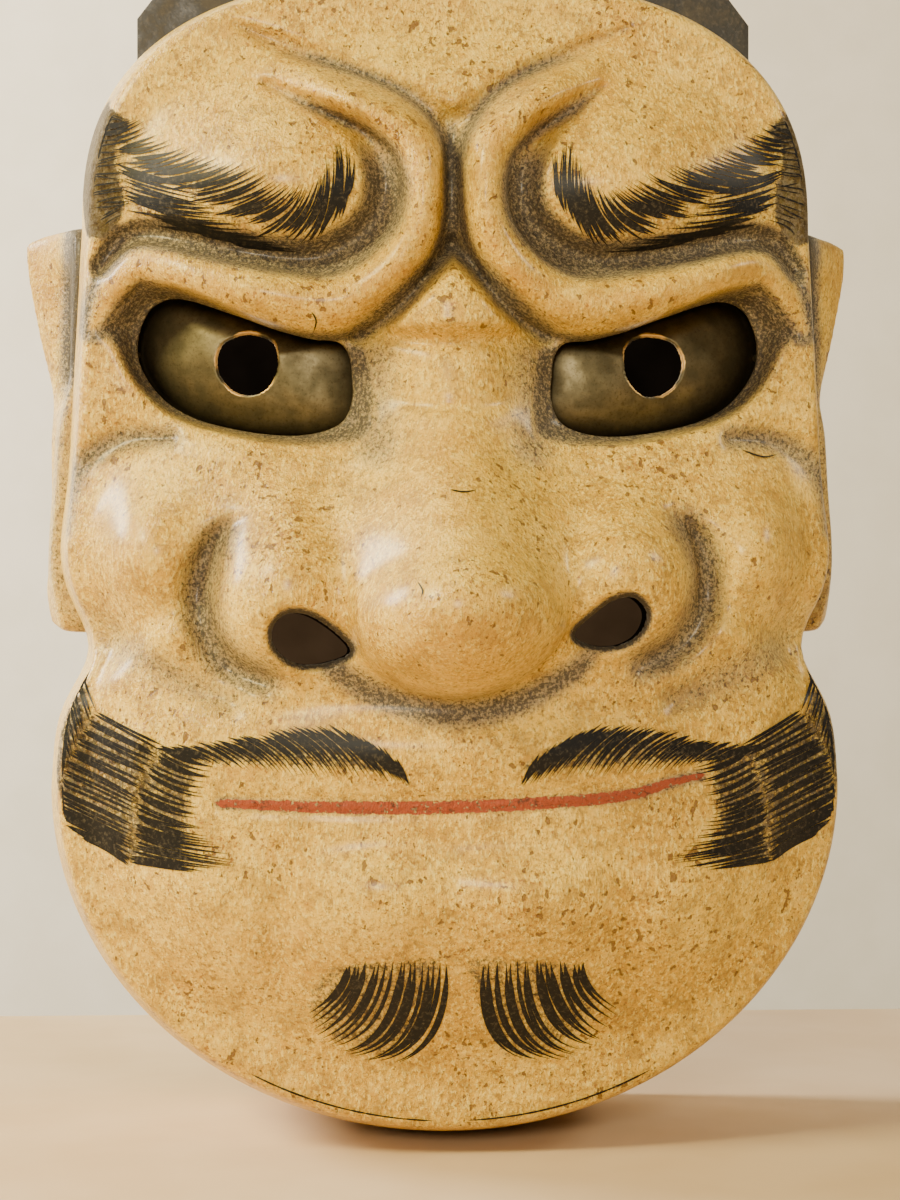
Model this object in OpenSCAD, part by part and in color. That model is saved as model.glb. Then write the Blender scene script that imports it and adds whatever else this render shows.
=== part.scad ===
// Carved wooden demon mask: one hollow face shell with let-in brass eyes,
// pinned-on ears and a black crown strip behind the forehead.
// The face looks towards -Y, the flat back rim is at +Y, X is across and the chin stands on Z = 0.
// All sizes are in millimetres.

/* [Face] */
// Depth from the flat back rim to the tip of the nose
mask_depth = 96; // [92:1:102]
// How far the flat side walls run forward from the rim before the face rounds over
side_d = 32; // [28:1:34]
// Width of the flat rim at the back
rim_w = 9; // [8:0.5:10]
// Thickness of the wood behind the face
wall = 10; // [9:0.5:12]
// Height of the rolled brows above the forehead
roll_rise = 6.5; // [4:0.5:8]
// Height of the cheek balls
cheek_rise = 7; // [3:0.5:8]

/* [Eyes] */
// Diameter of the hole in each pupil
pupil_d = 11.5; // [9:0.5:12]
// Thickness of the brass sheet
brass_t = 0.8; // [0.6:0.1:1.2]
// Angle that each eye plate turns outwards
eye_turn = 16; // [13:1:18]

/* [Fixings] */
// Diameter of the cord hole at each temple
cord_hole_d = 4; // [3:0.5:5]
// Diameter of the bamboo pegs
peg_d = 3; // [2.5:0.5:3.5]
// Diameter of the brass tack shanks
tack_d = 1.4; // [1.2:0.1:1.6]

/* [Crown and ears] */
// Width of the crown strip
crown_w = 115; // [111:1:117]
// How far the crown strip rises above the forehead
crown_rise = 6; // [4:0.5:10]
// Thickness of an ear where it meets the side of the mask
ear_t = 6.5; // [6:0.5:8]

/* [Hidden] */
$fn = 48;

wood = "#dcb67f";
lacquer = "#332b26";
brass = "#7d6a3a";
bamboo = "#c9a96a";

// The face is laid out on a flat drawing, [across, up], that is seen from `sight` in front of it.
// What lies further back is drawn smaller, so it is carved larger by the factor reach(depth).
// A depth is always measured forward from the plane of the back rim.
sight = 400;
mid_d = mask_depth / 2;
function reach(depth) = 1 + (mid_d - depth) / sight;
drawn_bottom = 2.4;
drawn_top = 208.4;
drawn_eye_line = 97.6;
side_reach = reach(side_d);
sight_z = (drawn_eye_line - drawn_bottom) * side_reach;
function carved(across, up, depth, scale_by) =
    [across * scale_by, mid_d - depth, sight_z + (up - drawn_eye_line) * scale_by];

// Smooth curve through a table of [position, value] knots.
function knot(t, table) = max([for (i = [0:len(table) - 2]) t >= table[i][0] ? i : 0]);
function knot_slope(table, i) =
    let (a = max(i - 1, 0), b = min(i + 1, len(table) - 1))
    (table[b][1] - table[a][1]) / (table[b][0] - table[a][0]);
function curve(t, table) =
    let (i = knot(t, table),
         span = table[i + 1][0] - table[i][0],
         s = max(0, min(1, (t - table[i][0]) / span)),
         rise = table[i + 1][1] - table[i][1],
         m0 = knot_slope(table, i) * span,
         m1 = knot_slope(table, i + 1) * span)
    table[i][1] + m0 * s + (3 * rise - 2 * m0 - m1) * s * s + (m0 + m1 - 2 * rise) * s * s * s;

// Rounded hill of height 1 at the middle.
function hill(x, width) = exp(-x * x / (width * width));
function mound(p, centre, size) = hill(p[0] - centre[0], size[0]) * hill(p[1] - centre[1], size[1]);
function eased(s) = let (c = max(0, min(1, s))) c * c * (3 - 2 * c);

// Distance from a point to a bent line.
function to_segment(p, a, b) =
    let (ab = b - a, s = max(0, min(1, ((p - a) * ab) / (ab * ab)))) norm(p - a - ab * s);
function to_path(p, path) = min([for (i = [0:len(path) - 2]) to_segment(p, path[i], path[i + 1])]);

// Lines of the carving on the wearer's left half of the drawing. The other half mirrors them.
brow_roll = [[30, 189], [21, 187.5], [12, 183], [6.5, 177], [4.4, 170], [6, 164], [10, 157],
             [16, 151.5], [24, 148.3], [32, 148], [41, 150.8], [52, 155.5], [58, 155.5], [62, 151]];
brow_groove = [[30, 189], [22, 185], [15, 179], [11, 173], [11, 167], [14, 161.5], [21, 157],
               [30, 156], [40, 159], [48, 161], [55, 161], [60, 157]];
frown_line = [[34, 199], [20, 191.5], [9, 187], [0, 184]];
wing_groove = [[31, 114.5], [38.5, 111.5], [43.5, 106.5], [45, 101], [44.6, 95], [42.6, 90], [38, 84.5]];
middle_depth = [[0, 60], [20, 68], [42, 73], [62, 68], [78, 67], [94, 69], [110, 65], [140, 57], [172, 63],
                [192, 62], [210, 56]];
nose_rise = [[76, 0], [80, 12], [86, 23], [93, 27], [101, 26.5], [109, 21.5], [120, 14], [132, 10], [147, 8],
             [160, 0]];
nose_half = [[76, 14], [80, 16], [86, 20], [94, 22], [102, 20], [112, 16], [124, 13], [136, 12],
             [147, 12], [160, 6]];

// Outline of the face on the drawing: a squarish dome, sides with a cheek and a waist, a round jaw.
dome_centre = 163;
dome_half = 64.5;
dome_power = 2 / 2.55;
jaw_centre = 64;
jaw_half = 69.9;
function side_half(up) =
    jaw_half + (dome_half - jaw_half) * (up - jaw_centre) / (dome_centre - jaw_centre)
    + 0.8 * hill(up - 107, 8) - 5.2 * hill(up - 88.5, 8.5);
function signed_pow(x, e) = sign(x) * pow(abs(x), e);
dome_steps = 44;
side_steps = 14;
jaw_steps = 28;
outline = concat(
    [for (i = [0:dome_steps - 1]) let (a = 180 * i / dome_steps)
        [dome_half * signed_pow(cos(a), dome_power),
         dome_centre + (drawn_top - dome_centre) * signed_pow(sin(a), dome_power)]],
    [for (i = [0:side_steps - 1]) let (up = dome_centre + (jaw_centre - dome_centre) * i / side_steps)
        [-side_half(up), up]],
    [for (i = [0:jaw_steps - 1]) let (a = 180 + 180 * i / jaw_steps)
        [jaw_half * cos(a), jaw_centre + (jaw_centre - drawn_bottom) * sin(a)]],
    [for (i = [0:side_steps - 1]) let (up = jaw_centre + (dome_centre - jaw_centre) * i / side_steps)
        [side_half(up), up]]);
columns = len(outline);
hub = [0, 124];

// Eye openings: an almond that leans up outwards, set on a plane that turns away from the nose.
eye_centre = [36.8, 139];
eye_d = 50;
eye_half = [19.5, 10.5];
almond_power = 2.4;
eye_lean = 6;
eye_slope = tan(eye_turn);
function eye_plane(across) = eye_d - (across - eye_centre[0]) * eye_slope;
function in_eye(p) =
    let (q = p - eye_centre,
         a = q[0] * cos(eye_lean) + q[1] * sin(eye_lean),
         b = q[1] * cos(eye_lean) - q[0] * sin(eye_lean))
    pow(pow(abs(a) / eye_half[0], almond_power) + pow(abs(b) / eye_half[1], almond_power), 1 / almond_power);

// Depth of the front of the face at a point of the drawing. `out` is 0 at the hub, 1 at the outline.
function face_form(p, out, middle) = side_d + (middle - side_d) * pow(max(0, 1 - pow(out, 4)), 0.5);
function carving(p) =
    roll_rise * hill(to_path(p, brow_roll), 5.2)
    - 3 * hill(to_path(p, brow_groove), 3.6)
    - 1.6 * hill(to_path(p, frown_line), 3)
    - 3.5 * hill(p[0], 3) * eased((p[1] - 160) / 6) * eased((188 - p[1]) / 6)
    + 5 * mound(p, [34, 173], [18, 9])
    + 5 * hill(p[0], 2 + max(0, (160 - p[1]) * 0.55)) * eased((p[1] - 144) / 3) * eased((161 - p[1]) / 6)
    + cheek_rise * mound(p, [54, 105], [11, 14])
    + 5 * mound(p, [31, 97], [10, 11])
    - 3.5 * hill(to_path(p, wing_groove), 3.4)
    - 1.6 * hill(p[1] - 60 - p[0] * p[0] / 600, 1.8) * eased((47 - p[0]) / 4)
    + 3 * mound(p, [0, 70], [38, 7])
    + 3 * mound(p, [14, 43], [13, 10]);
function nose(p) = curve(p[1], nose_rise) * exp(-pow(abs(p[0]) / curve(p[1], nose_half), 3.6))
    * eased((p[1] - 74) / 4) * eased((160 - p[1]) / 8);
function face_depth(p, out) =
    let (q = [abs(p[0]), p[1]],
         free = face_form(q, out, curve(q[1], middle_depth)) + (carving(q) + nose(q)) * (1 - pow(out, 8)),
         socket = 1 - eased((in_eye(q) - 1.02) / 0.4))
    max(side_d, free + (min(free, eye_plane(q[0]) + 1.5) - free) * socket);

// Depth of the hollow: the same form without its fine carving, one wall thickness lower.
function hollow_depth(p, out) =
    let (q = [abs(p[0]), p[1]])
    (curve(q[1], middle_depth) - wall + 0.75 * nose(q)) * pow(max(0, 1 - pow(out, 3)), 0.6);

front_rings = 40;
back_rings = 11;
function ring_out(t) = 1 - pow(1 - t, 1.25);
function on_ring(edge, out) = hub + (edge - hub) * out;
function inset(edge) = let (r = edge - hub) hub + r * (1 - rim_w / side_reach / norm(r));
front_points = [for (i = [1:front_rings], j = [0:columns - 1])
    let (out = ring_out(i / front_rings), p = on_ring(outline[j], out), depth = face_depth(p, out))
    carved(p[0], p[1], depth, reach(depth))];
rim_points = concat(
    [for (edge = outline) carved(edge[0], edge[1], 0, side_reach)],
    [for (edge = outline) let (p = inset(edge)) carved(p[0], p[1], 0, side_reach)]);
back_points = [for (i = [back_rings - 1:-1:1], j = [0:columns - 1])
    let (out = ring_out(i / back_rings), p = on_ring(inset(outline[j]), out), depth = hollow_depth(p, out))
    carved(p[0], p[1], depth, side_reach)];
front_hub = let (depth = face_depth(hub, 0)) carved(hub[0], hub[1], depth, reach(depth));
back_hub = carved(hub[0], hub[1], hollow_depth(hub, 0), side_reach);
shell_rows = front_rings + 2 + back_rings - 1;

module solid_shell() {
    points = concat(front_points, rim_points, back_points, [front_hub, back_hub]);
    first = len(points) - 2;
    last = len(points) - 1;
    body = [for (i = [0:shell_rows - 2], j = [0:columns - 1])
        let (a = i * columns + j, b = i * columns + (j + 1) % columns, c = a + columns, d = b + columns)
        each [[a, b, c], [b, d, c]]];
    front_cap = [for (j = [0:columns - 1]) [first, (j + 1) % columns, j]];
    back_row = (shell_rows - 1) * columns;
    back_cap = [for (j = [0:columns - 1]) [last, back_row + j, back_row + (j + 1) % columns]];
    polyhedron(points, concat(body, front_cap, back_cap));
}

// Places its children at an eye: local X along the plate, local Z out of the face.
eye_y = mid_d - eye_d;
eye_reach = reach(eye_d);
module at_eye(side) {
    translate([side * eye_centre[0] * eye_reach,
               eye_y,
               sight_z + (eye_centre[1] - drawn_eye_line) * eye_reach])
        rotate([90, 0, 0]) rotate([0, side * eye_turn, 0]) rotate(side * eye_lean) children();
}

// Point of an eye's almond edge, moved outwards by `grow`.
function almond_point(a, grow) =
    [(eye_half[0] + grow) * signed_pow(cos(a), 2 / almond_power),
     (eye_half[1] + grow) * signed_pow(sin(a), 2 / almond_power)];
module almond(grow) {
    steps = 40;
    polygon([for (i = [0:steps - 1]) almond_point(360 * i / steps, grow)]);
}

// The plate rests against a ledge `ledge_back` behind the eye plane.
ledge_back = 2;
flange = 2.6;
module eye_opening(side) {
    at_eye(side) {
        translate([0, 0, -10]) linear_extrude(30) almond(0);
        translate([0, 0, -ledge_back - 30]) linear_extrude(30) almond(flange + 0.2);
        at_tacks() translate([0, 0, -ledge_back - 1]) cylinder(d = tack_d, h = 1 + tack_l);
    }
}

dome_r = 42;
dome_rise = 4.6;
module eye_plate(side) {
    color(brass) at_eye(side) translate([0, 0, -ledge_back]) difference() {
        union() {
            translate([0, 0, -brass_t]) linear_extrude(brass_t) almond(flange);
            intersection() {
                translate([0, 0, dome_rise - dome_r]) sphere(dome_r);
                linear_extrude(10) almond(-0.2);
            }
        }
        intersection() {
            translate([0, 0, dome_rise - dome_r]) sphere(dome_r - brass_t);
            translate([0, 0, -5]) linear_extrude(15) almond(-0.2 - brass_t);
        }
        translate([0, 0, -5]) cylinder(d = pupil_d, h = 20);
        at_tacks() translate([0, 0, -brass_t - 1]) cylinder(d = tack_d, h = brass_t + 2);
    }
}

tack_l = 2.4;
tack_head_d = 2.6;
tack_head_t = 0.6;
tack_angles = [0, 90, 180];
module at_tacks() {
    for (a = tack_angles)
        translate(almond_point(a, flange / 2)) children();
}

module eye_tacks(side) {
    color(brass) at_eye(side) at_tacks() translate([0, 0, -ledge_back]) {
        translate([0, 0, -brass_t]) cylinder(d = tack_d, h = brass_t + tack_l);
        translate([0, 0, -brass_t - tack_head_t]) cylinder(d = tack_head_d, h = tack_head_t);
    }
}

// Nostril: a slanting oval hole beside the nose ball, open into the hollow.
nostril_at = [27, 91.5];
nostril_d = 70;
nostril_half = [6.6, 4.2];
nostril_lean = 24;
nostril_reach = 30;
module nostril(side) {
    k = reach(nostril_d);
    translate([side * nostril_at[0] * k,
               mid_d - nostril_d - nostril_reach,
               sight_z + (nostril_at[1] - drawn_eye_line) * k])
        rotate([-90, 0, 0]) rotate(-side * nostril_lean) linear_extrude(nostril_reach + 45)
            scale([1, nostril_half[1] / nostril_half[0]]) circle(nostril_half[0]);
}

// Cord holes run straight through the side walls, behind the ears' upper ends.
cord_z = 141;
cord_d = 6.5;
cord_reach = 90;
module cord_holes() {
    for (side = [-1, 1])
        translate([side * cord_reach, mid_d - cord_d, cord_z]) rotate([0, -side * 90, 0])
            cylinder(d = cord_hole_d, h = 45);
}

// Ears: flat slabs on the side walls, each carved with a hollow and a raised edge.
ear_top = 168;
ear_bottom = 93;
ear_front_d = 34;
ear_back_d = 12;
ear_gap = 0.1;
ear_peg_z = [110, 152];
ear_peg_d = 17;
peg_l = 15;
ear_peg_sunk = 2;
module face_outline(grow) {
    polygon([for (edge = outline) let (r = edge - hub, p = hub + r * (1 + grow / norm(r)))
        [p[0] * side_reach, sight_z + (p[1] - drawn_eye_line) * side_reach]]);
}

// Front view of an ear: straight down the side, waisted, and flared at the top.
ear_root_x = 60;
ear_outer = side_half(130) * side_reach + ear_t;
ear_flare = 2.8;
ear_waist = 1;
ear_waist_z = 142;
ear_lobe = 0.4;
module ear_slab() {
    translate([0, mid_d - ear_back_d, 0]) rotate([90, 0, 0]) linear_extrude(ear_front_d - ear_back_d)
        polygon([[ear_root_x, ear_bottom],
                 [ear_outer, ear_bottom],
                 [ear_outer + ear_lobe, ear_bottom + 12],
                 [ear_outer - ear_waist, ear_waist_z],
                 [ear_outer + ear_flare, ear_top - 3],
                 [ear_outer + ear_flare - 1, ear_top],
                 [ear_root_x, ear_top]]);
}

// Side view of an ear, [distance forward of the ear's back edge, height].
ear_side_w = 19;
module ear_side_shape() {
    translate([ear_back_d, 0]) polygon([
        [0, ear_bottom + 6], [6, ear_bottom], [14, ear_bottom + 1], [ear_side_w, ear_bottom + 14],
        [ear_side_w, ear_waist_z], [ear_side_w - 2, ear_waist_z + 14], [ear_side_w, ear_top - 5],
        [14, ear_top], [4, ear_top], [0, ear_top - 8]]);
}

module ear(side) {
    color(wood) mirror([side < 0 ? 1 : 0, 0, 0]) difference() {
        intersection() {
            ear_slab();
            translate([0, mid_d, 0]) rotate([90, 0, 90]) linear_extrude(120)
                mirror([1, 0]) ear_side_shape();
        }
        translate([0, mid_d + 1, 0]) rotate([90, 0, 0]) linear_extrude(mask_depth) face_outline(ear_gap);
        ear_hollow();
        ear_peg_holes();
    }
}

// The hollow is a shallow dish cut into the outer face by a stretched ball.
ear_hollow_r = 17;
ear_hollow_depth = 4;
ear_hollow_z = 138;
ear_hollow_stretch = [1, 0.42, 1.25];
module ear_hollow() {
    ear_middle_d = (ear_front_d + ear_back_d) / 2;
    translate([ear_outer + ear_hollow_r - ear_hollow_depth, mid_d - ear_middle_d, ear_hollow_z])
        scale(ear_hollow_stretch) sphere(ear_hollow_r);
}

module ear_peg_holes() {
    for (z = ear_peg_z)
        translate([ear_outer - peg_l, mid_d - ear_peg_d, z]) rotate([0, 90, 0])
            cylinder(d = peg_d, h = peg_l + 12);
}

module ear_pegs() {
    color(bamboo) for (side = [-1, 1], z = ear_peg_z)
        translate([side * (ear_outer - peg_l), mid_d - ear_peg_d, z])
            rotate([0, side * 90, 0]) cylinder(d = peg_d, h = peg_l - ear_peg_sunk);
}

// Crown strip: a flat-topped black cap on the upper side wall.
crown_front_d = 26;
crown_back_d = 3;
crown_foot_z = 197;
crown_corner_z = 207;
crown_bevel = 4;
crown_peg_x = [-38, 0, 38];
crown_peg_d = 14;
crown_peg_l = 13;
crown_peg_sunk = 0.6;
crown_top = sight_z + (drawn_top - drawn_eye_line) * side_reach + crown_rise;
crown_drop = crown_top - crown_corner_z - crown_bevel;
crown_steps = 16;
function crown_edge(x) = crown_top - crown_drop * pow(abs(x) / (crown_w / 2), 2);
module crown_cap() {
    half = crown_w / 2;
    arc = [for (i = [0:crown_steps])
        let (x = (half - crown_bevel) * (1 - 2 * i / crown_steps))
        [x, crown_edge(x)]];
    polygon(concat([[half, crown_foot_z], [half, crown_corner_z]], arc,
                   [[-half, crown_corner_z], [-half, crown_foot_z]]));
}

module crown_strip() {
    color(lacquer) difference() {
        translate([0, mid_d - crown_back_d, 0]) rotate([90, 0, 0])
            linear_extrude(crown_front_d - crown_back_d) difference() {
                crown_cap();
                face_outline(0.1);
            }
        crown_peg_holes();
    }
}

module crown_peg_holes() {
    for (x = crown_peg_x)
        translate([x, mid_d - crown_peg_d, crown_edge(x) - crown_peg_l])
            cylinder(d = peg_d, h = crown_peg_l + 5);
}

module crown_pegs() {
    color(bamboo) for (x = crown_peg_x)
        translate([x, mid_d - crown_peg_d, crown_edge(x) - crown_peg_l])
            cylinder(d = peg_d, h = crown_peg_l - crown_peg_sunk);
}

module mask_shell() {
    color(wood) difference() {
        solid_shell();
        eye_opening(-1);
        eye_opening(1);
        nostril(-1);
        nostril(1);
        cord_holes();
        ear_peg_holes();
        mirror([1, 0, 0]) ear_peg_holes();
        crown_peg_holes();
    }
}

module left_ear() { ear(1); }
module right_ear() { ear(-1); }
module left_eye() { eye_plate(1); }
module right_eye() { eye_plate(-1); }
module left_eye_tacks() { eye_tacks(1); }
module right_eye_tacks() { eye_tacks(-1); }

mask_shell();
crown_strip();
left_ear();
right_ear();
left_eye();
right_eye();
left_eye_tacks();
right_eye_tacks();
ear_pegs();
crown_pegs();
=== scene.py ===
"""Looks of a carved and painted Noh theatre mask: lacquered face, brass eyes, ears and crown strip."""

import math

import bpy
import numpy as np
import openvdb
from mathutils import Matrix, Vector


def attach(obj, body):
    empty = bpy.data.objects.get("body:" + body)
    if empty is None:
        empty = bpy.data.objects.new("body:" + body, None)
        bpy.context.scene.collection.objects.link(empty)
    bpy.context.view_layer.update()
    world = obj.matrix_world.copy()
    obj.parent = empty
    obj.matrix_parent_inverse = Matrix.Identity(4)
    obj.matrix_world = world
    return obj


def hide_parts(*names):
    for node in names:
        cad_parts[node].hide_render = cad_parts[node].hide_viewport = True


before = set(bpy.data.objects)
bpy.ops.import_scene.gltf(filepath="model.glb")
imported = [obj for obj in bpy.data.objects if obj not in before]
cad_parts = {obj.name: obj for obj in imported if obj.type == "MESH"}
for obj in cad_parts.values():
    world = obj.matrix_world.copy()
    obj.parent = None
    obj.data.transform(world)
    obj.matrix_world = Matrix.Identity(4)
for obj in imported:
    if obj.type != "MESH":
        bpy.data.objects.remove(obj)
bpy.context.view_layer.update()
MM = 0.001
rng = np.random.default_rng(7)

# The face is drawn in front view, u across and v up, in millimetres, as seen by an eye SIGHT in
# front of the middle of the mask. Depth runs from 0 at the back rim to about 96 at the nose tip.
MID_DEPTH = 48.0
SIDE_DEPTH = 32.0
SIGHT = 400.0
EYE_LINE = 97.6
BOTTOM, TOP = 2.4, 208.4
RIM_WIDTH = 9.0
WALL = 10.0
SIDE_REACH = 1 + (MID_DEPTH - SIDE_DEPTH) / SIGHT
SIGHT_Z = (EYE_LINE - BOTTOM) * SIDE_REACH
HUB = np.array([0.0, 124.0])
GRID = 0.3
VOXEL = 0.6


def reach_of(depth):
    """How much wider than drawn the mask is at this depth."""
    return np.minimum(1 + (MID_DEPTH - depth) / SIGHT, SIDE_REACH)


def place(u, v, depth):
    """Point in the CAD frame, in millimetres, of a drawn point at a depth."""
    reach = reach_of(depth)
    return np.stack([u * reach, MID_DEPTH - depth, SIGHT_Z + (v - EYE_LINE) * reach], axis=-1)


# ---- shaping helpers ----
def ease(x):
    x = np.clip(x, 0.0, 1.0)
    return x * x * (3 - 2 * x)


def hill(x, width):
    return np.exp(-((x / width) ** 2))


def dome(x2, power):
    """Height of a rounded ball over squared radius x2, going on down outside it."""
    return np.clip(1 - x2, 0, None) ** power - np.clip(x2 - 1, 0, 1)


def smooth_max(a, b, k):
    return 0.5 * (a + b + np.sqrt((a - b) ** 2 + k * k))


def curve(t, knots):
    """Smooth curve through (position, value) knots."""
    x, y = np.array(knots, float).T
    slope = np.gradient(y, x)
    t = np.clip(t, x[0], x[-1])
    i = np.clip(np.searchsorted(x, t) - 1, 0, len(x) - 2)
    h = x[i + 1] - x[i]
    s = (t - x[i]) / h
    start = (2 * s**3 - 3 * s**2 + 1) * y[i] + (s**3 - 2 * s**2 + s) * h * slope[i]
    return start + (3 * s**2 - 2 * s**3) * y[i + 1] + (s**3 - s**2) * h * slope[i + 1]


def smooth_line(points, per=6, closed=False):
    """Catmull-Rom line through points. Any columns after the first two are carried along."""
    p = np.array(points, float)
    n = len(p)
    if closed:
        p0, p1, p2, p3 = (np.roll(p, -k, axis=0) for k in (-1, 0, 1, 2))
    else:
        a = np.arange(n - 1)
        p0, p1, p2, p3 = p[np.maximum(a - 1, 0)], p[a], p[a + 1], p[np.minimum(a + 2, n - 1)]
    rows = []
    for s in np.arange(per) / per:
        bend = (2 * p0 - 5 * p1 + 4 * p2 - p3) * s * s + (3 * p1 - p0 - 3 * p2 + p3) * s**3
        rows.append(0.5 * (2 * p1 + (p2 - p0) * s + bend))
    line = np.stack(rows, axis=1).reshape(-1, p.shape[1])
    return np.vstack([line, p[:1] if closed else p[-1:]])


def trace(u, v, line, reach=13.0):
    """Distance to a line, the way along it (0 to 1) and the half width it carries there."""
    dist = np.full(u.shape, 4 * reach)
    along = np.zeros(u.shape)
    width = np.ones(u.shape)
    low, high = line[:, :2].min(0) - reach, line[:, :2].max(0) + reach
    near = (u > low[0]) & (u < high[0]) & (v > low[1]) & (v < high[1])
    x, y = u[near], v[near]
    best = np.full(x.shape, np.inf)
    way = np.zeros(x.shape)
    half = np.ones(x.shape)
    for i, (a, b) in enumerate(zip(line[:-1], line[1:])):
        e = b[:2] - a[:2]
        t = np.clip(((x - a[0]) * e[0] + (y - a[1]) * e[1]) / max(e @ e, 1e-9), 0, 1)
        d2 = (x - a[0] - t * e[0]) ** 2 + (y - a[1] - t * e[1]) ** 2
        closer = d2 < best
        best[closer] = d2[closer]
        way[closer] = ((i + t) / (len(line) - 1))[closer]
        if len(a) > 2:
            half[closer] = (a[2] + t * (b[2] - a[2]))[closer]
    dist[near], along[near], width[near] = np.sqrt(best), way, np.maximum(half, 0.3)
    return dist, along, width


def inside(u, v, ring):
    """Signed distance to a closed ring, positive inside."""
    dist = trace(u, v, ring)[0]
    odd = np.zeros(u.shape, bool)
    for a, b in zip(ring[:-1], ring[1:]):
        if a[1] != b[1]:
            crossing = (a[1] > v) != (b[1] > v)
            odd ^= crossing & (u < (b[0] - a[0]) * (v - a[1]) / (b[1] - a[1]) + a[0])
    return np.where(odd, dist, -dist)


# ---- drawing of the face: lines as (u, v, half width), mirrored unless named left or right ----
BROW_ROLL = smooth_line([
    (35, 193.5, 1.5), (24, 189.8, 3.6), (12.5, 184.6, 4.2), (6.6, 178.5, 4.1), (5.4, 171, 3.9),
    (6.4, 163.6, 4.1), (10.6, 156.2, 4.7), (17, 151, 5.1), (24, 149.4, 5.1), (35, 151.2, 4.6),
    (44, 153.6, 4.0), (51.5, 156, 3.5), (56.3, 156.2, 3.1), (60, 152.5, 2.8), (63.4, 145.5, 1.6)])
BROW_GROOVE = smooth_line([
    (30, 189, 0.8), (19, 183.3, 2.3), (13.6, 176.8, 3.1), (12.2, 170.5, 3.4), (14, 164.6, 3.4),
    (19.8, 160, 3.1), (27.3, 158, 2.9), (42.5, 160.2, 2.7), (52, 162, 2.5), (58, 161, 2.2),
    (62, 156, 1.8)])
FROWN = smooth_line([(35, 199.3, 0.7), (26, 195.4, 1.7), (16.5, 191, 2.3), (8, 186.6, 2.6),
                     (2, 182.5, 2.4)])
BESIDE_NOSE = smooth_line([(0, 160.5, 1.6), (6.5, 154, 2.2), (12.5, 148.2, 2.4), (16.8, 144.4, 2.2)])
WING_GROOVE = smooth_line([
    (31, 114.3, 0.5), (37, 112.3, 1.1), (42, 108.2, 2.0), (44.8, 101.5, 3.0), (45, 95.5, 3.0),
    (43.4, 89.8, 3.0), (39.5, 85.2, 2.6), (34, 82.5, 1.8)])
CHEEK_TOP = smooth_line([(69, 110, 1.4), (67.6, 117, 2.4), (63.5, 122.5, 2.6), (57.5, 125.5, 2.0),
                         (50, 126, 1.0)])
JOWL = smooth_line([(65, 93, 1.8), (57, 87.5, 3.0), (48, 83, 3.2), (40, 79.5, 2.0)])
EYE_SKIN = smooth_line([
    (63.2, 144.8), (59.5, 149.5), (55.5, 153.2), (50, 153.2), (42, 150.2), (33, 146.2), (25, 144.2),
    (19.5, 143.6), (15.2, 142.4), (13.8, 138.6), (13.4, 132), (14.4, 126), (20, 124.4), (27, 124.2),
    (33.5, 124.8), (41, 126.4), (48.5, 128.6), (53.4, 131.8), (57.2, 136.2), (60, 141.6)], closed=True)
EYE_HOLE = smooth_line([
    (55.2, 142.0), (54.4, 145.8), (52.2, 149.2), (47.5, 150.4), (38.3, 147.6), (31, 145), (24.7, 143.4),
    (20.4, 143), (18.4, 140.8), (17.8, 137), (17.8, 132.2), (20, 128.3), (26, 126.4), (33.7, 126.6),
    (42.8, 128.4), (48.3, 130.8), (52, 134), (54.6, 138.2)], closed=True)
LEFT_NOSTRIL = smooth_line([
    (21.2, 90.9), (24.5, 94.4), (28.1, 97.0), (31.6, 97.5), (34, 94.8), (32.8, 91.2), (29.3, 89.1),
    (24.5, 89.0)], closed=True)
RIGHT_NOSTRIL = smooth_line([
    (-18.8, 87.9), (-21.5, 91.2), (-26.3, 94.3), (-30.3, 94.6), (-32.7, 92.2), (-32.4, 89), (-30, 86.6),
    (-26.8, 85.6), (-22.7, 86.1)], closed=True)
MOUTH = smooth_line([
    (-44, 61.1, 0.7), (-29.6, 60.5, 1.0), (-15, 60.1, 1.2), (0.9, 60.2, 1.2), (20, 61.1, 1.1),
    (31.6, 62.3, 1.0), (38.7, 64.4, 0.8), (45.8, 65.9, 0.5)])
FOLD_OUT = smooth_line([(63.5, 80, 1.0), (66.5, 74, 1.4), (69, 66, 1.0)])
FOLD_IN = smooth_line([(54.5, 76, 0.8), (56.5, 69.5, 1.4), (57, 60, 1.2), (56, 54, 0.6)])

# Depth down the middle of the face without the nose, and the nose's ridge and half width.
MIDDLE = [(0, 60), (20, 68), (42, 73), (62, 69.5), (78, 68), (94, 69), (110, 66), (125, 59), (140, 57),
          (172, 64), (192, 62), (210, 56)]
NOSE_RIDGE = [(76, 0), (86, 8), (96, 20), (106, 20.5), (114, 17), (122, 12.5), (132, 9), (142, 7.5),
              (150, 5), (162, 2)]
NOSE_HALF = [(76, 17), (96, 19), (106, 18), (114, 15.5), (122, 13.5), (132, 12), (142, 11.5), (160, 8)]
NOSE_TIP = (0.3, 94.5)
WING = (30.0, 97.5)

# Eyes: the plate's plane turns away from the nose and leans up outwards.
EYE = (36.8, 139.0)
EYE_DEPTH = 50.0
EYE_TURN = math.radians(16)
EYE_LEAN = math.radians(6)
LEDGE_BACK = 2.0
FLANGE = 2.6


def eye_plane(across):
    return EYE_DEPTH - (across - EYE[0]) * math.tan(EYE_TURN)


# Outline: a squarish dome over the temples, sides with a cheek and a waist, and a round jaw.
TEMPLE_HALF, TEMPLE_V = 64.5, 163
JAW_HALF, JAW_V = 69.9, 64
DOME_POWER = 2 / 2.55


def side_half(v):
    """Half width of the face between the jaw and the temples."""
    straight = JAW_HALF + (TEMPLE_HALF - JAW_HALF) * (v - JAW_V) / (TEMPLE_V - JAW_V)
    return straight + 0.8 * hill(v - 107, 8) - 5.2 * hill(v - 88.5, 8.5)


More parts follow.
